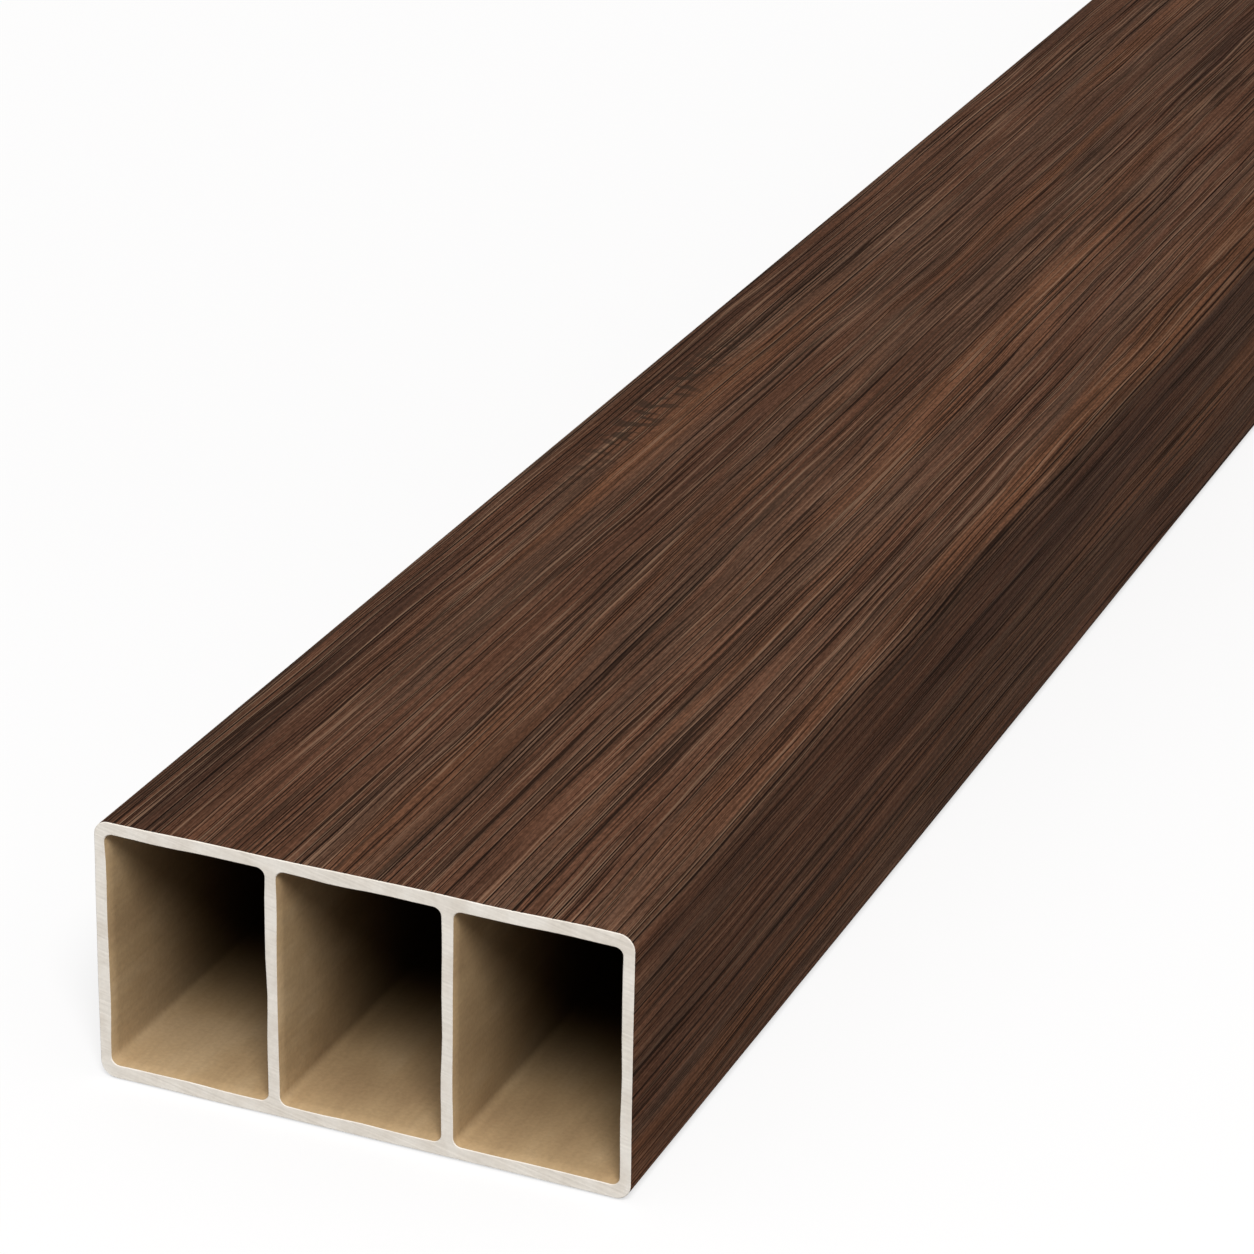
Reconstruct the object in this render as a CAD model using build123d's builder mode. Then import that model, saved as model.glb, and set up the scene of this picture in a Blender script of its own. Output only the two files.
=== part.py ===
from build123d import *
import os

# A hollow moulding board of rigid plastic, extruded in one piece and sawn to its stock length.
# Its section is a flat box with rounded long edges, split by upright webs into equal chambers
# that run open from end to end. It lies on its wide face, with its length along Y, its width
# along X and the origin at the centre of its underside.

# Driving dimensions, in millimetres.
length = 2000.0
width = 100.0
height = 50.0
face_wall = 2.7
side_wall = 2.2
web_wall = 2.2
chamber_count = 3
outer_edge_radius = 3.0
chamber_corner_radius = 1.5

# Worked out from the driving dimensions.
webs_total = (chamber_count - 1) * web_wall
chamber_width = (width - 2 * side_wall - webs_total) / chamber_count
chamber_height = height - 2 * face_wall
chamber_pitch = chamber_width + web_wall

# The board: one section, extruded to both sides of the middle of its length.
with BuildPart() as board:
    with BuildSketch(Plane.XZ) as section:
        with Locations((0, height / 2)):
            RectangleRounded(width, height, outer_edge_radius)
            with GridLocations(chamber_pitch, 0, chamber_count, 1):
                RectangleRounded(
                    chamber_width, chamber_height, chamber_corner_radius, mode=Mode.SUBTRACT
                )
    extrude(amount=length / 2, both=True)
board.part.label = "board"

os.makedirs("parts", exist_ok=True)
export_step(board.part, "parts/board.step")

print(f"chamber {chamber_width:.2f} x {chamber_height:.2f} mm, pitch {chamber_pitch:.2f} mm")
print(f"section {section.sketch.area:.1f} mm2, board {board.part.volume / 1000:.1f} cm3")
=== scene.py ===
# %% [markdown]
# A hollow moulding board with a wood-grain outside.
# The real board is rigid plastic, pushed through a die in one piece: a flat box with rounded
# long edges and two upright webs, so that three chambers run open from end to end. Its outside
# carries a dark embossed wood grain, and the saw cut shows the pale plastic underneath.
# Everything here is built in metres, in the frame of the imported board, so nothing is fitted.

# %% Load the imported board
import math

import bpy
import numpy as np
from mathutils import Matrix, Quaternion, Vector
from mathutils.geometry import tessellate_polygon


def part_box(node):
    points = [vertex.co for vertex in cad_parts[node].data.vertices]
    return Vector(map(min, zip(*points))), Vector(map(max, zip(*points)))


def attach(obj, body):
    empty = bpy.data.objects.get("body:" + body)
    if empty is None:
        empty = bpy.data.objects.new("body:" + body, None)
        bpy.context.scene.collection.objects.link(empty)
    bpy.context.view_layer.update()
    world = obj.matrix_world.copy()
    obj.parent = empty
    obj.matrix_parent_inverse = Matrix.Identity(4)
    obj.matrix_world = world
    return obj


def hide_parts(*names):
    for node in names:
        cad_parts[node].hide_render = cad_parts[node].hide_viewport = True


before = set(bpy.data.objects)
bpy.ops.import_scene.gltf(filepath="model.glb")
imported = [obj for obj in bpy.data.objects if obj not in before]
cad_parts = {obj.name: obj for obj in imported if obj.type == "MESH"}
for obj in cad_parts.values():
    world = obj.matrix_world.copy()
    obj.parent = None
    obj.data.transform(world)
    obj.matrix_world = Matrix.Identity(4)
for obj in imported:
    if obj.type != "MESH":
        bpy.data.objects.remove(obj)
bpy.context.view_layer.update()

low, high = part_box("board")
print("board box, mm:", [round(1000 * n, 2) for n in (*low, *high)])

# %% [markdown]
# The outside sizes come from the frame. Walls, webs and bends are the driving sizes of the
# real section: the wide faces are a little thicker than the sides and the webs.

# %% Sizes of the section
length = high.y - low.y
width = high.x - low.x
height = high.z - low.z
middle_height = (low.z + high.z) / 2
face_wall = 0.0027
side_wall = 0.0022
web_wall = 0.0022
edge_radius = 0.003
chamber_radius = 0.0015
chamber_count = 3
sawn_chamfer = 0.00014

webs_total = (chamber_count - 1) * web_wall
chamber_width = (width - 2 * side_wall - webs_total) / chamber_count
chamber_height = height - 2 * face_wall
chamber_pitch = chamber_width + web_wall
first_chamber = -chamber_pitch * (chamber_count - 1) / 2
chamber_middles = [first_chamber + n * chamber_pitch for n in range(chamber_count)]
print("chamber, mm:", round(1000 * chamber_width, 2), "x", round(1000 * chamber_height, 2))

# %% [markdown]
# Both the outside and the chambers are rounded rectangles. A rounded rectangle can be walked
# like a path: on a straight stretch a small inner rectangle's corner moves and the facing
# stays, and on a bend the facing turns and the corner stays. Three straight-line tables give
# every point, and moving in or out along the facing gives grooves and chamfers for nothing.

# %% A rounded rectangle that is walked by distance
def rounded_path(wide, tall, radius):
    """Where the outline of a rounded rectangle starts and ends each bend, from its lowest middle."""
    across = wide / 2 - radius
    up = tall / 2 - radius
    bend = math.pi / 2 * radius
    steps = [0, across, bend, 2 * up, bend, 2 * across, bend, 2 * up, bend, across]
    return {
        "distance": np.cumsum(steps),
        "x": across * np.array([0, 1, 1, 1, 1, -1, -1, -1, -1, 0]),
        "z": up * np.array([-1, -1, -1, 1, 1, 1, 1, -1, -1, -1]),
        "facing": np.radians([-90, -90, 0, 0, 90, 90, 180, 180, 270, 270]),
        "radius": radius,
    }


def on_path(path, distance, inset=0.0):
    """x and z at these distances round the path, moved inwards by inset."""
    around = np.mod(distance, path["distance"][-1])
    facing = np.interp(around, path["distance"], path["facing"])
    reach = path["radius"] - inset
    x = np.interp(around, path["distance"], path["x"]) + reach * np.cos(facing)
    z = np.interp(around, path["distance"], path["z"]) + reach * np.sin(facing)
    return x, z


outside = rounded_path(width, height, edge_radius)
chamber = rounded_path(chamber_width, chamber_height, chamber_radius)
girth = outside["distance"][-1]
chamber_girth = chamber["distance"][-1]
print("girth, mm:", round(1000 * girth, 1))
print("chamber girth, mm:", round(1000 * chamber_girth, 1))

# %% [markdown]
# Nothing that comes out of a die is dead straight: faces sink a little between the webs, and
# grain lines drift. Smooth random hills give all of these. They close up round the section,
# so no seam shows, and a seed makes them the same in every run.

# %% Smooth random hills
dice = np.random.default_rng(41)


def eased(part):
    """0 to 1 with a soft start and a soft end."""
    return part * part * (3 - 2 * part)


def rising(hills, start, full):
    """0 where the hills are below start, 1 where they are above full, and soft between."""
    return eased(np.clip((hills - start) / (full - start), 0, 1))


def soft_hills(around, along, cells_around, cells_along):
    """Hills from -1 to 1. around and along run from 0 to 1, and around closes up."""
    heights = dice.uniform(-1, 1, (cells_around, cells_along + 2))
    place_around = np.mod(around, 1.0) * cells_around
    place_along = along * cells_along
    cell_around = np.floor(place_around).astype(int)
    cell_along = np.floor(place_along).astype(int)
    turn = eased(place_around - cell_around)
    step = eased(place_along - cell_along)
    here = cell_around % cells_around
    beside = (cell_around + 1) % cells_around
    near = heights[here, cell_along] * (1 - turn) + heights[beside, cell_along] * turn
    far = heights[here, cell_along + 1] * (1 - turn) + heights[beside, cell_along + 1] * turn
    return near * (1 - step) + far * step


# %% [markdown]
# The embossed grain is made of long narrow grooves. A displacement map would need millions of
# faces to show lines less than half a millimetre wide. Here the mesh itself follows the grain
# instead: every groove owns four columns of points that run from end to end, a lip, a bottom,
# a second lip that carries a painted highlight, and the start of the land beside it, and only
# its depth comes and goes. Plain columns fill the wide gaps and the bends.

# %% Columns of points, laid out round the section
least_gap = 0.001
mean_extra_gap = 0.0014
gaps_drawn = 400
least_half_width = 0.00014
most_half_width = 0.00026
# The painted highlight along a groove's lip fades out over this width.
lip_highlight_width = 0.00024
bend_step = 0.0009
flat_step = 0.0034
bend_margin = 0.003
PLAIN, BOTTOM, LIP = range(3)

gaps = least_gap + dice.exponential(mean_extra_gap, gaps_drawn)
groove_middles = np.cumsum(gaps)
groove_middles = groove_middles[groove_middles < girth - least_gap]
groove_count = len(groove_middles)
half_widths = dice.uniform(least_half_width, most_half_width, groove_count)

stops = outside["distance"]
bends = [(stops[n] - bend_margin, stops[n + 1] + bend_margin) for n in (1, 3, 5, 7)]
marks = [(0.0, PLAIN, 0)]
for number, (middle, half) in enumerate(zip(groove_middles, half_widths)):
    marks += [(middle - half, PLAIN, 0), (middle, BOTTOM, number), (middle + half, LIP, number)]
    marks += [(middle + half + lip_highlight_width, PLAIN, 0)]

columns = []
for (here, part, number), (there, _, _) in zip(marks, marks[1:] + [(girth, PLAIN, 0)]):
    in_bend = any(start < here < end or start < there < end for start, end in bends)
    pieces = math.ceil((there - here) / (bend_step if in_bend else flat_step))
    columns.append((here, part, number))
    columns += [(here + (there - here) * n / pieces, PLAIN, 0) for n in range(1, pieces)]

column_place = np.array([place for place, _, _ in columns])
column_part = np.array([part for _, part, _ in columns])
column_groove = np.array([number for _, _, number in columns])
print("grooves:", groove_count, "columns:", len(columns))

# %% [markdown]
# Now the columns drift together, as the lines in real timber do, and each groove fades in and
# out along its length. The drift is smaller than the distance between hills, so columns never
# cross. Grooves are shallower on the narrow sides, and at the ends, so that the sawn rim
# stays clean. The faces also sink by up to three tenths of a millimetre here and there,
# always inwards, so the board stays inside its box.

# %% Drift, depth and sink over the whole skin
ring_count = 168
wide_drift = 0.0016
fine_drift = 0.00035
groove_depth = 0.00017
face_sink = 0.0003
least_strength = 0.35
side_calm = 0.6
end_relief = 0.4

ring_y = np.linspace(low.y + sawn_chamfer, high.y - sawn_chamfer, ring_count)
ring_y = np.concatenate([[low.y], ring_y, [high.y]])
ring_along = (ring_y - low.y) / length
along, around = np.meshgrid(ring_along, column_place / girth, indexing="ij")

drift = wide_drift * soft_hills(around, along, cells_around=14, cells_along=11)
drift += fine_drift * soft_hills(around, along, cells_around=40, cells_along=60)
sink = face_sink * (1 + soft_hills(around, along, cells_around=22, cells_along=12)) / 2

strength = dice.uniform(least_strength, 1.0, groove_count)
for n in (2, 6):
    on_side = (groove_middles > stops[n]) & (groove_middles < stops[n + 1])
    strength[on_side] *= side_calm
number_around = np.arange(groove_count)[None, :] / groove_count
fade = soft_hills(number_around, ring_along[:, None], groove_count, cells_along=21)
fade = strength * rising(fade, start=-0.5, full=0.1)
# Painted highlight: the pale band on a groove's lip comes and goes along it, within the groove's own
# fade.
lip_highlight_fade = soft_hills(number_around, ring_along[:, None], groove_count, cells_along=37)
lip_highlight_fade = fade * rising(lip_highlight_fade, start=-0.2, full=0.3)
groove = np.where(column_part == BOTTOM, fade[:, column_groove], 0.0)
painted_lip_highlight = np.where(column_part == LIP, lip_highlight_fade[:, column_groove], 0.0)

groove_relief = groove.copy()
groove_relief[[0, 1, -2, -1]] *= end_relief
inset = sink + groove_depth * groove_relief
inset[[0, -1]] += sawn_chamfer
skin_x, skin_z = on_path(outside, girth * around + drift, inset)
skin_y = np.broadcast_to(ring_y[:, None], skin_x.shape)
skin = np.stack([skin_x, skin_y, skin_z + middle_height], axis=2)
print("skin points:", skin.shape[0] * skin.shape[1])

# %% [markdown]
# The grain texture needs coordinates that follow the drift and close up round the board. So
# each point also remembers where it would be on a round tube of the same girth, before the
# drift. Texture that is laid on that tube bends with the grooves and has no seam.

# %% The tube that carries the grain
tube_radius = girth / (2 * math.pi)
tube_turn = 2 * math.pi * around
tube_x = tube_radius * np.cos(tube_turn)
tube_z = tube_radius * np.sin(tube_turn)
tube = np.stack([tube_x, skin_y, tube_z], axis=2)
print("tube radius, mm:", round(1000 * tube_radius, 2))

# %% [markdown]
# The chambers need far fewer points: they are smooth, and only their mouths are seen close
# by. Their rings crowd together near both ends. Waviness of up to two tenths of a millimetre
# keeps the mouth's edge from looking drawn with a ruler.

# %% Chamber walls
bend_points = 5
wall_step = 0.004
mouth_wave = 0.00018
first_ring_depth = 0.003
rings_to_middle = 12


def chamber_columns():
    """Distances round a chamber: close together on its bends, wider on its walls."""
    places = []
    ends = chamber["distance"]
    for number, (start, end) in enumerate(zip(ends, ends[1:])):
        is_bend = number % 2 == 1
        pieces = bend_points if is_bend else math.ceil((end - start) / wall_step)
        places += [start + (end - start) * n / pieces for n in range(pieces)]
    return np.array(places)


spaced = np.geomspace(first_ring_depth, length / 2, rings_to_middle)
depths = np.concatenate([[0, sawn_chamfer], spaced])
chamber_y = np.concatenate([low.y + depths, (high.y - depths[:-1])[::-1]])
chamber_place = chamber_columns()
chamber_along = (chamber_y - low.y) / length


def chamber_points(middle):
    """Rings of points on one chamber's wall."""
    deep, turn = np.meshgrid(chamber_along, chamber_place / chamber_girth, indexing="ij")
    wave = mouth_wave * soft_hills(turn, deep, cells_around=17, cells_along=40)
    wave[[0, -1]] -= sawn_chamfer
    x, z = on_path(chamber, chamber_girth * turn, wave)
    y = np.broadcast_to(chamber_y[:, None], x.shape)
    return np.stack([x + middle, y, z + middle_height], axis=2)


print("chamber columns:", len(chamber_place), "rings:", len(chamber_y))

# %% [markdown]
# One mesh is gathered from four tubes and two ends, because the real board is one piece of
# plastic. A tube joins each ring to the next with quads. Its first and last bands are the
# small chamfers that the saw leaves, so they show the pale cut plastic. The flat map beside
# the mesh unrolls each tube into its own strip, which keeps the long grain sharp when the
# board is exported with its colours as an image.

# %% Gathering tubes into one mesh
GRAIN, SAWN, INNER = range(3)
board_points = []
board_faces = []
board_map = []
board_finish = []
chamfer_on_map = 0.004
skin_strip_width = 0.74
chamber_strips_start = 0.75
chamber_strip_pitch = 0.05
chamber_strip_width = 0.045
end_strip_start = 0.905
end_strip_width = 0.09
end_strip_length = 0.48
near_end_start = 0.01
far_end_start = 0.51


def along_on_map(places):
    """Place along the map for each ring, with enough room for the chamfers to hold colour."""
    flat = chamfer_on_map + (1 - 2 * chamfer_on_map) * places
    flat[[0, -1]] = [0, 1]
    return flat


def add_tube(points, finish, around_map, along_map, faces_in):
    """Adds a tube of quads and returns the point numbers of its first and last ring."""
    rings, count = points.shape[:2]
    first = sum(len(part) for part in board_points)
    ring, column = np.meshgrid(np.arange(rings - 1), np.arange(count), indexing="ij")
    ring = ring.ravel()
    column = column.ravel()
    turn = (column + 1) % count
    corners = [
        (ring, column, column),
        (ring + 1, column, column),
        (ring + 1, turn, column + 1),
        (ring, turn, column + 1),
    ]
    if faces_in:
        corners.reverse()
    quads = np.stack([first + r * count + c for r, c, _ in corners], axis=1)
    flat = np.stack([np.stack([around_map[m], along_map[r]], axis=1) for r, _, m in corners], axis=1)
    board_points.append(points.reshape(-1, 3))
    board_faces.extend(quads.tolist())
    board_map.append(flat.reshape(-1, 2))
    board_finish.append(np.where((ring == 0) | (ring == rings - 2), SAWN, finish))
    every = np.arange(count)
    return first + every, first + (rings - 1) * count + every


skin_strip = skin_strip_width * np.append(column_place, girth) / girth
around_chamber = np.append(chamber_place, chamber_girth) / chamber_girth
near_rims = []
far_rims = []
rims = add_tube(skin, GRAIN, skin_strip, along_on_map(ring_along.copy()), False)
near_rims.append(rims[0])
far_rims.append(rims[1])

for number, middle in enumerate(chamber_middles):
    strip_start = chamber_strips_start + chamber_strip_pitch * number
    strip = strip_start + chamber_strip_width * around_chamber
    walls = chamber_points(middle)
    rims = add_tube(walls, INNER, strip, along_on_map(chamber_along.copy()), True)
    near_rims.append(rims[0])
    far_rims.append(rims[1])
print("quads:", len(board_faces))

# %% [markdown]
# A sawn end is one flat face with three holes. Blender's own polygon filler turns its outline
# and the mouths of the chambers into triangles that share every rim point, so the mesh stays
# closed and can be printed or simulated as a solid.

# %% The two sawn ends
def add_end(rims, faces_far, map_start):
    """Closes one end between the outer rim and the chambers' rims."""
    points = np.concatenate(board_points)
    outlines = [[Vector((points[n][0], points[n][2], 0)) for n in rim] for rim in rims]
    numbers = np.concatenate(rims)
    triangles = numbers[np.array(tessellate_polygon(outlines))]
    a, b, c = (points[triangles[:, n]][:, [0, 2]] for n in range(3))
    area = (b[:, 0] - a[:, 0]) * (c[:, 1] - a[:, 1]) - (b[:, 1] - a[:, 1]) * (c[:, 0] - a[:, 0])
    wrong = (area < 0) != faces_far
    triangles[wrong] = triangles[wrong][:, ::-1]
    corners = points[triangles.ravel()]
    map_across = end_strip_start + end_strip_width * corners[:, 2] / height
    map_along = map_start + end_strip_length * (corners[:, 0] - low.x) / width
    flat = np.stack([map_across, map_along], axis=1)
    board_faces.extend(triangles.tolist())
    board_map.append(flat)
    board_finish.append(np.full(len(triangles), SAWN))
    return len(triangles)


end_faces = [add_end(near_rims, False, near_end_start), add_end(far_rims, True, far_end_start)]
print("triangles in the sawn ends:", end_faces)

# %% [markdown]
# The gathered lists become one object. Three point attributes go with it: how deep the groove
# is and how strong the painted highlight on its lip is, so that printed lines and the painted
# highlight lie exactly on the relief, and the place on the tube. Sawn faces stay flat shaded,
# which keeps the rim crisp where they meet the walls.

# %% The board as one object
board_mesh = bpy.data.meshes.new("hollow_board")
points = np.concatenate(board_points)
board_mesh.from_pydata(points.tolist(), [], board_faces)
finish = np.concatenate(board_finish)
board_mesh.polygons.foreach_set("material_index", finish.astype(np.int32))
board_mesh.polygons.foreach_set("use_smooth", finish != SAWN)

flat_map = board_mesh.uv_layers.new(name="OFBake")
flat_map.uv.foreach_set("vector", np.concatenate(board_map).astype(np.float32).ravel())

for name, levels in (("groove", groove), ("painted_lip_highlight", painted_lip_highlight)):
    level = np.zeros(len(points), np.float32)
    level[: levels.size] = levels.ravel()
    board_mesh.attributes.new(name, "FLOAT", "POINT").data.foreach_set("value", level)

grain_place = points.copy()
grain_place[: groove.size] = tube.reshape(-1, 3)
place_layer = board_mesh.attributes.new("grain_place", "FLOAT_VECTOR", "POINT")
place_layer.data.foreach_set("vector", grain_place.astype(np.float32).ravel())

board = bpy.data.objects.new("hollow_board", board_mesh)
bpy.context.scene.collection.objects.link(board)
board_mesh.update()
triangle_count = sum(len(face) - 2 for face in board_faces)
print("triangles in the board:", triangle_count)

# %% [markdown]
# Materials are node trees. A few helpers keep the trees readable: one adds a node and fills
# its sockets with values or links, the others name the steps that every finish uses. Noise
# in Blender gathers round its middle, so the part of its range that counts is named here.

# %% Helpers for node trees
NOISE_LOW = 0.3
NOISE_HIGH = 0.7


def put(tree, kind, inputs=None, **settings):
    """Adds a node. Each input gets a plain value, or a link when the value is a socket."""
    made = tree.nodes.new(kind)
    spot = len(tree.nodes)
    made.location = (220 * (spot % 9), -260 * (spot // 9))
    for name, value in settings.items():
        setattr(made, name, value)
    for key, value in (inputs or {}).items():
        if isinstance(value, bpy.types.NodeSocket):
            tree.links.new(value, made.inputs[key])
        else:
            made.inputs[key].default_value = value
    return made


def work_out(tree, how, a, b):
    """One step of arithmetic, clamped to 0 to 1."""
    return put(tree, "ShaderNodeMath", {0: a, 1: b}, operation=how, use_clamp=True).outputs[0]


def work_out_place(tree, how, a, b):
    """One step of arithmetic on places."""
    return put(tree, "ShaderNodeVectorMath", {0: a, 1: b}, operation=how).outputs[0]


def spread(tree, value, low_in, high_in, low_out, high_out):
    """The value, moved from one range to another."""
    ends = {"From Min": low_in, "From Max": high_in, "To Min": low_out, "To Max": high_out}
    return put(tree, "ShaderNodeMapRange", {"Value": value, **ends}).outputs[0]


def from_noise(tree, noise, low_out, high_out):
    """Noise, moved from the range that counts to another."""
    return spread(tree, noise, NOISE_LOW, NOISE_HIGH, low_out, high_out)


def mix_colours(tree, share, under, over):
    """over laid on under, as strongly as share says."""
    mixer = put(tree, "ShaderNodeMix", data_type="RGBA")
    for socket, value in ((0, share), (6, under), (7, over)):
        if isinstance(value, bpy.types.NodeSocket):
            tree.links.new(value, mixer.inputs[socket])
        else:
            mixer.inputs[socket].default_value = value
    return mixer.outputs[2]


def lay_over(tree, mask, share, under, over):
    """over laid on under where the mask is, at most as strongly as share says."""
    return mix_colours(tree, work_out(tree, "MULTIPLY", mask, share), under, over)


def screen_colour(red, green, blue):
    """A colour as a screen shows it, 0 to 255, turned into the linear light that Blender mixes."""
    parts = [n / 255 for n in (red, green, blue)]
    return tuple(n / 12.92 if n < 0.04 else ((n + 0.055) / 1.055) ** 2.4 for n in parts) + (1.0,)


def colour_ramp(tree, value, stops):
    """A colour for each value, from stops of (position, colour)."""
    made = put(tree, "ShaderNodeValToRGB", {"Fac": value})
    ends = made.color_ramp.elements
    for element, (position, colour) in ((ends[0], stops[0]), (ends[1], stops[-1])):
        element.position = position
        element.color = colour
    for position, colour in stops[1:-1]:
        ends.new(position).color = colour
    return made.outputs["Color"]


def three_shades(tree, noise, dark, middle, pale):
    """Three screen colours of one plastic, spread over the noise."""
    stops = [(0.34, dark), (0.5, middle), (0.66, pale)]
    return colour_ramp(tree, noise, [(position, screen_colour(*shade)) for position, shade in stops])


def lay_bump(tree, shader, height, strength, distance):
    """Fine relief on a shader. Distance is in metres."""
    sizes = {"Strength": strength, "Distance": distance, "Height": height}
    tree.links.new(put(tree, "ShaderNodeBump", sizes).outputs[0], shader.inputs["Normal"])


def seen_rays(tree):
    """1 for the camera's rays and those that meet a mirror or glass, 0 for light that spreads."""
    ray = put(tree, "ShaderNodeLightPath").outputs
    passed_on = work_out(tree, "ADD", ray["Is Glossy Ray"], ray["Is Transmission Ray"])
    return work_out(tree, "ADD", ray["Is Camera Ray"], passed_on)


def new_finish(name, sheen_level):
    """An empty material with its shader wired to the output."""
    material = bpy.data.materials.new(name)
    material.use_nodes = True
    tree = material.node_tree
    tree.nodes.clear()
    shader = put(tree, "ShaderNodeBsdfPrincipled", {"Specular IOR Level": sheen_level})
    put(tree, "ShaderNodeOutputMaterial", {"Surface": shader.outputs[0]})
    return material, tree, shader


# %% [markdown]
# Most effects on this board are streaks: printed grain, pores, saw marks, and the faint lines
# that a die leaves in the chambers. So the streaks are one node group, built once: noise that
# is squeezed across and stretched along, with a soft threshold that turns it into a mask.

# %% Streaks, a node group
def new_group(name, inputs, outputs):
    """An empty shader group with named sockets, and its input and output nodes."""
    group = bpy.data.node_groups.new(name, "ShaderNodeTree")
    for label, kind, value in inputs:
        socket = group.interface.new_socket(label, in_out="INPUT", socket_type=kind)
        if value is not None:
            socket.default_value = value
    for label, kind in outputs:
        group.interface.new_socket(label, in_out="OUTPUT", socket_type=kind)
    return group, put(group, "NodeGroupInput").outputs, put(group, "NodeGroupOutput").inputs


streaks, given, out = new_group(
    "Streaks",
    [
        ("Place", "NodeSocketVector", None),
        ("Across", "NodeSocketFloat", 500.0),
        ("Along", "NodeSocketFloat", 8.0),
        ("Detail", "NodeSocketFloat", 2.0),
        ("Shift", "NodeSocketFloat", 0.0),
        ("From", "NodeSocketFloat", 0.5),
        ("To", "NodeSocketFloat", 0.6),
    ],
    [("Noise", "NodeSocketFloat"), ("Mask", "NodeSocketFloat")],
)
scales = {"X": given["Across"], "Y": given["Along"], "Z": given["Across"]}
squeeze = put(streaks, "ShaderNodeCombineXYZ", scales).outputs[0]
squeezed = work_out_place(streaks, "MULTIPLY", given["Place"], squeeze)
shifted = work_out_place(streaks, "ADD", squeezed, given["Shift"])
cloud_sizes = {"Vector": shifted, "Scale": 1.0, "Detail": given["Detail"]}
clouds = put(streaks, "ShaderNodeTexNoise", cloud_sizes).outputs[0]
threshold = {"Value": clouds, "From Min": given["From"], "From Max": given["To"]}
cut = put(streaks, "ShaderNodeMapRange", threshold, interpolation_type="SMOOTHSTEP")
streaks.links.new(clouds, out["Noise"])
streaks.links.new(cut.outputs[0], out["Mask"])


def lay_streaks(tree, place, across, along, shift, detail=2.0, start=0.5, end=0.6):
    """Places the group: across and along are streaks per metre, start and end the threshold."""
    values = {"Place": place, "Across": across, "Along": along, "Detail": detail, "Shift": shift}
    values.update({"From": start, "To": end})
    return put(tree, "ShaderNodeGroup", values, node_tree=streaks).outputs


print("groups:", [group.name for group in bpy.data.node_groups])

# %% [markdown]
# The other effect that every finish shares is tone: the same colour, a little darker or
# lighter from place to place. Multiplying keeps the hue, as uneven pigment does. Mixing with
# grey would make it look dusty.

# %% Tone, a node group
tone, given, out = new_group(
    "Tone",
    [
        ("Color", "NodeSocketColor", (0.5, 0.5, 0.5, 1.0)),
        ("Noise", "NodeSocketFloat", 0.5),
        ("Darkest", "NodeSocketFloat", 0.8),
        ("Lightest", "NodeSocketFloat", 1.2),
    ],
    [("Color", "NodeSocketColor")],
)
amount = from_noise(tone, given["Noise"], given["Darkest"], given["Lightest"])
toned = put(tone, "ShaderNodeVectorMath", {0: given["Color"], "Scale": amount}, operation="SCALE")
tone.links.new(toned.outputs[0], out["Color"])


def lay_tone(tree, colour, noise, darkest, lightest):
    """The colour, darker or lighter by what the noise says."""
    values = {"Color": colour, "Noise": noise, "Darkest": darkest, "Lightest": lightest}
    return put(tree, "ShaderNodeGroup", values, node_tree=tone).outputs[0]


# %% [markdown]
# The outside finish starts with the broad colours of the print: bands about a centimetre wide
# that shift between chocolate, red-brown, orange-brown and a greyish brown, and over them a
# slower change from dark to light. Lines in timber never run quite parallel, so the
# coordinates sway a little round the tube. They turn about its middle and don't slide,
# because sliding cuts through the noise and breaks every line into dashes.

# %% Wood grain film: broad colours
film_sheen = 0.003
most_sway = 0.005

film, tree, film_shader = new_finish("Wood grain film", film_sheen)
straight = put(tree, "ShaderNodeAttribute", attribute_name="grain_place").outputs["Vector"]
sway = lay_streaks(tree, straight, 190, 24, 31.5)
sway_turn = {"Vector": straight, "Angle": from_noise(tree, sway["Noise"], -most_sway, most_sway)}
place = put(tree, "ShaderNodeVectorRotate", sway_turn, rotation_type="Y_AXIS").outputs[0]
bands = lay_streaks(tree, place, 80, 3.2, 3.7, detail=3)
colour = colour_ramp(
    tree,
    bands["Noise"],
    [
        (0.32, screen_colour(73, 51, 40)),
        (0.44, screen_colour(91, 62, 47)),
        (0.52, screen_colour(86, 63, 50)),
        (0.60, screen_colour(97, 66, 49)),
        (0.70, screen_colour(102, 69, 50)),
    ],
)
broad = lay_streaks(tree, place, 21, 1.6, 11.3)
colour = lay_tone(tree, colour, broad["Noise"], 0.89, 1.13)

# %% [markdown]
# Fibres come next, at three sizes: soft ones a millimetre and a half wide, crisp ones of four
# tenths of a millimetre, and specks as narrow but only a millimetre and a half long, which
# keep the print from looking smeared. Smoky dark streaks stand for denser growth.

# %% Wood grain film: fibres
soft_fibres = lay_streaks(tree, place, 700, 9, 5.1, detail=2)
colour = lay_tone(tree, colour, soft_fibres["Noise"], 0.95, 1.05)
fine_fibres = lay_streaks(tree, place, 2500, 16, 9.4, detail=2, start=0.42, end=0.58)
colour = lay_tone(tree, colour, fine_fibres["Mask"], 0.82, 1.18)
specks = lay_streaks(tree, place, 2800, 650, 14.9, detail=1, start=0.4, end=0.6)
colour = lay_tone(tree, colour, specks["Mask"], 0.86, 1.14)
smoke = lay_streaks(tree, place, 1700, 12, 17.9, detail=3, start=0.54, end=0.6)
dark_wood = screen_colour(52, 41, 33)
colour = lay_over(tree, smoke["Mask"], 0.5, colour, dark_wood)

# %% [markdown]
# Pores are the near-black lines. The widest lie in the grooves of the mesh, so colour and
# relief agree, and a painted highlight, a pale band, runs along the lip beside some of them,
# where the raised edge would catch the light. Finer pores and pale hairlines between the
# grooves come from streak masks. On the narrow sides, which are the two ends of the tube's Z,
# the hairlines are fainter.

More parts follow.
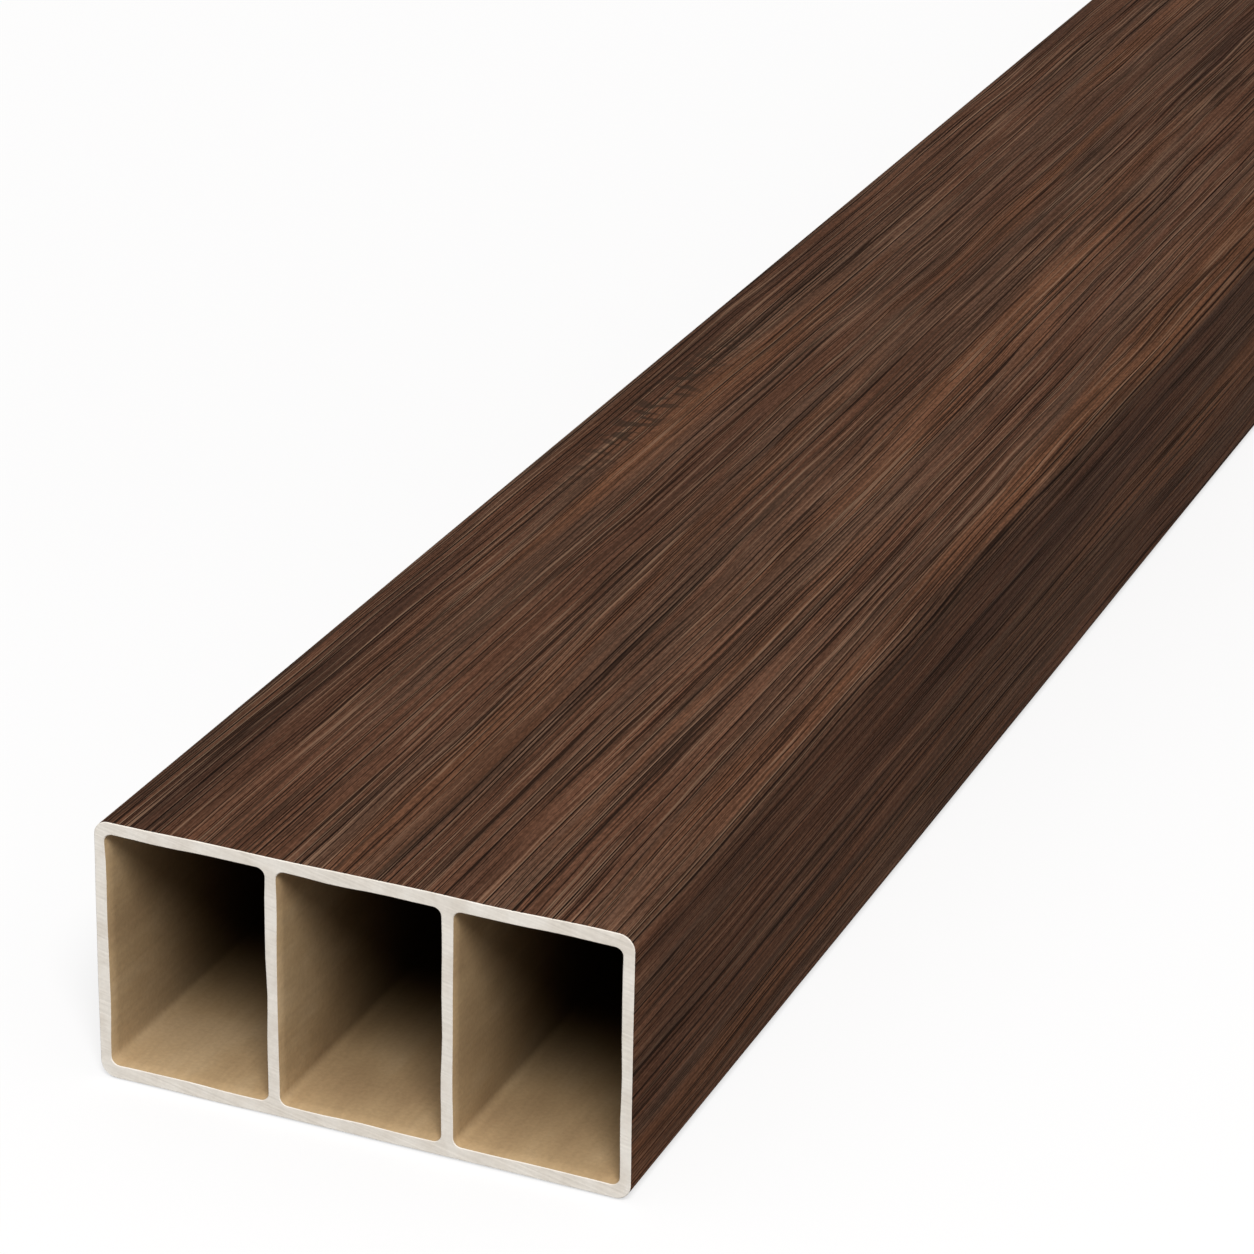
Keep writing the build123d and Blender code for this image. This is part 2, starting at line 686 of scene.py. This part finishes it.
# %% Wood grain film: pores, and painted highlights on the lips
wide_face_share = 0.46
narrow_side_share = 0.22
wide_face_ends = 0.84 * tube_radius
narrow_side_starts = 0.9 * tube_radius

groove_mark = put(tree, "ShaderNodeAttribute", attribute_name="groove").outputs["Fac"]
groove_dark = spread(tree, groove_mark, 0.03, 0.3, 0.0, 0.94)
lip_highlight_mark = put(tree, "ShaderNodeAttribute", attribute_name="painted_lip_highlight").outputs["Fac"]
lip_highlight_share = spread(tree, lip_highlight_mark, 0.15, 0.5, 0.0, 0.52)
# The pale print colour of the hairlines, also used for the painted highlight on the lips.
pale_grain_and_lip_highlight = screen_colour(146, 117, 95)
hairlines = lay_streaks(tree, place, 2500, 14, 41.7, detail=1, start=0.61, end=0.65)
round_place = put(tree, "ShaderNodeSeparateXYZ", {"Vector": place}).outputs["Z"]
off_middle = work_out(tree, "ABSOLUTE", round_place, 0.0)
hairline_share = spread(
    tree, off_middle, wide_face_ends, narrow_side_starts, wide_face_share, narrow_side_share
)
colour = lay_over(tree, hairlines["Mask"], hairline_share, colour, pale_grain_and_lip_highlight)
pore_black = screen_colour(28, 20, 16)
pores = lay_streaks(tree, place, 2900, 12, 23.6, detail=1, start=0.577, end=0.611)
colour = lay_over(tree, pores["Mask"], 0.8, colour, pore_black)
# Painted highlight: the pale colour laid along one lip of some grooves.
colour = mix_colours(tree, lip_highlight_share, colour, pale_grain_and_lip_highlight)
colour = mix_colours(tree, groove_dark, colour, pore_black)

# %% [markdown]
# On the left of the wide face, about 220 mm from the sawn end, the print shows a little
# figure: short ripples across the grain, as beside a knot. A soft oval mask keeps them there.

# %% Wood grain film: the figured patch
figure_middle = (-0.038, low.y + 0.22, high.z)
figure_reach = (0.006, 0.055, 0.004)
here = put(tree, "ShaderNodeTexCoord").outputs["Object"]
from_middle = work_out_place(tree, "SUBTRACT", here, figure_middle)
in_reaches = work_out_place(tree, "DIVIDE", from_middle, figure_reach)
far_off = put(tree, "ShaderNodeVectorMath", {0: in_reaches}, operation="LENGTH")
figure_mask = spread(tree, far_off.outputs["Value"], 1.2, 0.4, 0.0, 1.0)
ripples = lay_streaks(tree, place, 190, 340, 2.2, detail=2, start=0.5, end=0.57)
figure_share = work_out(tree, "MULTIPLY", figure_mask, ripples["Mask"])
colour = lay_over(tree, figure_share, 0.7, colour, dark_wood)
tree.links.new(colour, film_shader.inputs["Base Color"])

# %% [markdown]
# The photograph shows no gloss on the film, so its sheen is next to nothing, and what there
# is of it is duller in the pores than on the fibres. The finest relief is bump: real grooves
# are in the mesh already, and fibres are too small for it.

# %% Wood grain film: sheen and fine relief
fibre_roughness = from_noise(tree, fine_fibres["Noise"], 0.62, 0.5)
pore_roughness = work_out(tree, "MULTIPLY", pores["Mask"], 0.2)
tree.links.new(work_out(tree, "ADD", fibre_roughness, pore_roughness), film_shader.inputs["Roughness"])
fibre_height = from_noise(tree, fine_fibres["Noise"], 0.35, 0.75)
pore_depth = work_out(tree, "MULTIPLY", pores["Mask"], 0.35)
film_height = work_out(tree, "SUBTRACT", fibre_height, pore_depth)
lay_bump(tree, film_shader, film_height, strength=0.8, distance=0.00015)
print("film nodes:", len(tree.nodes))

# %% [markdown]
# The sawn ends show the plastic itself: a pale warm cream, matt and a little cloudy. The
# blade leaves faint parallel marks, which are turned a little so that they don't line up
# with the walls.

# %% Sawn plastic
sawn_sheen = 0.3
blade_angle = math.radians(78)

sawn, tree, sawn_shader = new_finish("Sawn cream plastic", sawn_sheen)
here = put(tree, "ShaderNodeTexCoord").outputs["Object"]
turned = put(tree, "ShaderNodeMapping", {"Vector": here, "Rotation": (0.0, blade_angle, 0.0)})
swapped = put(tree, "ShaderNodeSeparateXYZ", {"Vector": turned.outputs[0]}).outputs
blade_place = put(tree, "ShaderNodeCombineXYZ", {"X": swapped["X"], "Y": swapped["Z"]}).outputs[0]
blade_marks = lay_streaks(tree, blade_place, 2100, 45, 1.3, detail=2)
cloudy = lay_streaks(tree, here, 230, 230, 6.6, detail=4)
speckle = lay_streaks(tree, here, 1500, 1500, 8.8, detail=2)
colour = three_shades(tree, cloudy["Noise"], (223, 216, 206), (230, 224, 215), (235, 230, 222))
colour = lay_tone(tree, colour, blade_marks["Noise"], 0.965, 1.03)
colour = lay_tone(tree, colour, speckle["Noise"], 0.97, 1.03)
tree.links.new(colour, sawn_shader.inputs["Base Color"])
tree.links.new(from_noise(tree, cloudy["Noise"], 0.6, 0.78), sawn_shader.inputs["Roughness"])
mark_height = from_noise(tree, blade_marks["Noise"], 0.0, 1.0)
lay_bump(tree, sawn_shader, mark_height, strength=0.5, distance=0.00006)
print("sawn plastic nodes:", len(tree.nodes))

# %% [markdown]
# Inside the chambers the plastic is a darker tan. It is smooth from the die, with very faint
# lines along the length and soft stains. The wall's colour also darkens towards a near-black
# brown with depth from both ends: this is painted shade, which makes the chambers almost black
# a few centimetres in, sooner than the rendered shadow alone does.

# %% Chamber walls
inner_sheen = 0.03
full_painted_shade_depth = 0.061
painted_shade_start_depth = 0.002

inner, tree, inner_shader = new_finish("Tan chamber wall with painted shade", inner_sheen)
here = put(tree, "ShaderNodeTexCoord").outputs["Object"]
stains = lay_streaks(tree, here, 90, 40, 4.9, detail=4)
die_lines = lay_streaks(tree, here, 900, 12, 7.7, detail=2)
dust = lay_streaks(tree, here, 1300, 1300, 12.4, detail=2)
colour = three_shades(tree, stains["Noise"], (172, 145, 110), (182, 155, 118), (191, 165, 129))
colour = lay_tone(tree, colour, die_lines["Noise"], 0.96, 1.04)
colour = lay_tone(tree, colour, dust["Noise"], 0.94, 1.06)
# Painted shade: from 2 mm to 61 mm in from each end, the wall colour is mixed towards a near-black
# brown.
along_board = put(tree, "ShaderNodeSeparateXYZ", {"Vector": here}).outputs["Y"]
from_middle = work_out(tree, "ABSOLUTE", along_board, 0.0)
clear_of_painted_shade = spread(tree, from_middle, length / 2 - full_painted_shade_depth, length / 2 - painted_shade_start_depth, 0.0, 1.0)
clear_of_painted_shade = work_out(tree, "MULTIPLY", clear_of_painted_shade, clear_of_painted_shade)
painted_shade_colour = screen_colour(54, 38, 17)
colour = mix_colours(tree, clear_of_painted_shade, painted_shade_colour, colour)
tree.links.new(colour, inner_shader.inputs["Base Color"])
tree.links.new(from_noise(tree, stains["Noise"], 0.5, 0.65), inner_shader.inputs["Roughness"])
line_height = from_noise(tree, die_lines["Noise"], 0.0, 1.0)
lay_bump(tree, inner_shader, line_height, strength=0.3, distance=0.00005)
print("chamber wall nodes:", len(tree.nodes))

# %% [markdown]
# The three finishes go on in the order that the faces were numbered. Then the object takes
# the imported board's place: it rides on its body, the imported board is hidden, and the
# imported board's mesh keeps only the film finish.

# %% The board takes the imported node's place
for material in (film, sawn, inner):
    board_mesh.materials.append(material)
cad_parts["board"].data.materials.clear()
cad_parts["board"].data.materials.append(film)
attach(board, "root")
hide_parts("board")
print("finishes:", [material.name for material in board_mesh.materials])

# %% [markdown]
# The board lies on a plain floor. To the camera the floor also glows, so that it reads as
# white and only the shadow beside the board stays. Away from the sawn end the glow rises to
# full white, so that no horizon shows. Rays that carry light to the board meet the same
# floor without the glow, so it adds no light there.

# %% Floor
floor_size = 14.0
floor_drop = 0.0002
floor_glow = 0.672
full_glow = 1.0
glow_rises_from = 0.3
glow_is_full_at = 4.5
floor_colour = (0.32, 0.32, 0.325, 1.0)

corner = floor_size / 2
floor_mesh = bpy.data.meshes.new("floor")
floor_corners = [(-corner, -corner, 0), (corner, -corner, 0), (corner, corner, 0), (-corner, corner, 0)]
floor_mesh.from_pydata(floor_corners, [], [(0, 1, 2, 3)])
floor = bpy.data.objects.new("floor", floor_mesh)
floor.location.z = low.z - floor_drop
bpy.context.scene.collection.objects.link(floor)

floor_paint = bpy.data.materials.new("Pale floor")
floor_paint.use_nodes = True
tree = floor_paint.node_tree
tree.nodes.clear()
from_end = {0: put(tree, "ShaderNodeTexCoord").outputs["Object"], 1: (0.0, low.y, 0.0)}
far_out = put(tree, "ShaderNodeVectorMath", from_end, operation="DISTANCE").outputs["Value"]
glow_level = spread(tree, far_out, glow_rises_from, glow_is_full_at, floor_glow, full_glow)
seen_glow = work_out(tree, "MULTIPLY", seen_rays(tree), glow_level)
matt = put(tree, "ShaderNodeBsdfDiffuse", {"Color": floor_colour})
glow = put(tree, "ShaderNodeEmission", {"Strength": seen_glow})
both = put(tree, "ShaderNodeAddShader", {0: matt.outputs[0], 1: glow.outputs[0]})
put(tree, "ShaderNodeOutputMaterial", {"Surface": both.outputs[0]})
floor_mesh.materials.append(floor_paint)
print("floor, m:", floor_size, "square, at height", round(floor.location.z, 5))

# %% [markdown]
# The light is a plain studio: a soft even fill from all round, and one large soft lamp above,
# in front and to the right. The wide top and the sawn end are bright, the right side is about
# half as bright, and the shadow beside it is narrow and soft. The lamp's power is worked out
# from the light that it should give.

# %% World and lamp
fill_level = 0.31
fill_colour = (1.0, 0.99, 0.98, 1.0)
white = (1.0, 1.0, 1.0, 1.0)
lamp_level = 1.0
lamp_colour = (1.0, 0.985, 0.965)
lamp_distance = 5.0
lamp_size = 2.1
lamp_aim = Vector((0.0, low.y + 0.1, middle_height))
lamp_from = Vector((0.29, -0.60, 0.75)).normalized()

world = bpy.data.worlds.new("Studio")
bpy.context.scene.world = world
world.use_nodes = True
tree = world.node_tree
tree.nodes.clear()
backdrop = put(tree, "ShaderNodeBackground", {"Color": white, "Strength": 1.0}).outputs[0]
fill = put(tree, "ShaderNodeBackground", {"Color": fill_colour, "Strength": fill_level}).outputs[0]
sky = put(tree, "ShaderNodeMixShader", {0: seen_rays(tree), 1: fill, 2: backdrop})
put(tree, "ShaderNodeOutputWorld", {"Surface": sky.outputs[0]})

lamp_data = bpy.data.lights.new("soft_lamp", "AREA")
lamp_data.shape = "DISK"
lamp_data.size = lamp_size
lamp_data.energy = (math.pi * lamp_distance) ** 2 * lamp_level
lamp_data.color = lamp_colour
lamp = bpy.data.objects.new("soft_lamp", lamp_data)
lamp.location = lamp_aim + lamp_distance * lamp_from
lamp.rotation_mode = "QUATERNION"
lamp.rotation_quaternion = lamp_from.to_track_quat("Z", "Y")
bpy.context.scene.collection.objects.link(lamp)
print("lamp power, W:", round(lamp_data.energy, 1))

# %% [markdown]
# The camera stands to the right of the sawn end and looks down along the board, with a long
# lens and a slight roll. Its place and angles were found by matching the corners of the sawn
# end and the long edges with those in the photograph.

# %% Camera
camera_place = (0.2855, -1.5706, 0.3831)
camera_turn = math.radians(22.66)
camera_rise = math.radians(24.28)
camera_roll = math.radians(1.12)
lens_length = 124.85
sensor_width = 36.0

backwards = Vector(
    (
        math.sin(camera_turn) * math.cos(camera_rise),
        -math.cos(camera_turn) * math.cos(camera_rise),
        math.sin(camera_rise),
    )
)
camera_data = bpy.data.cameras.new("camera")
camera_data.lens = lens_length
camera_data.sensor_width = sensor_width
camera_data.clip_start = 0.01
camera_data.clip_end = 60.0
camera = bpy.data.objects.new("camera", camera_data)
camera.location = camera_place
camera.rotation_mode = "QUATERNION"
camera.rotation_quaternion = backwards.to_track_quat("Z", "Y") @ Quaternion((0, 0, 1), camera_roll)
bpy.context.scene.collection.objects.link(camera)
bpy.context.scene.camera = camera
bpy.context.scene.view_settings.view_transform = "Standard"
print("camera, m:", camera_place, "lens, mm:", lens_length)
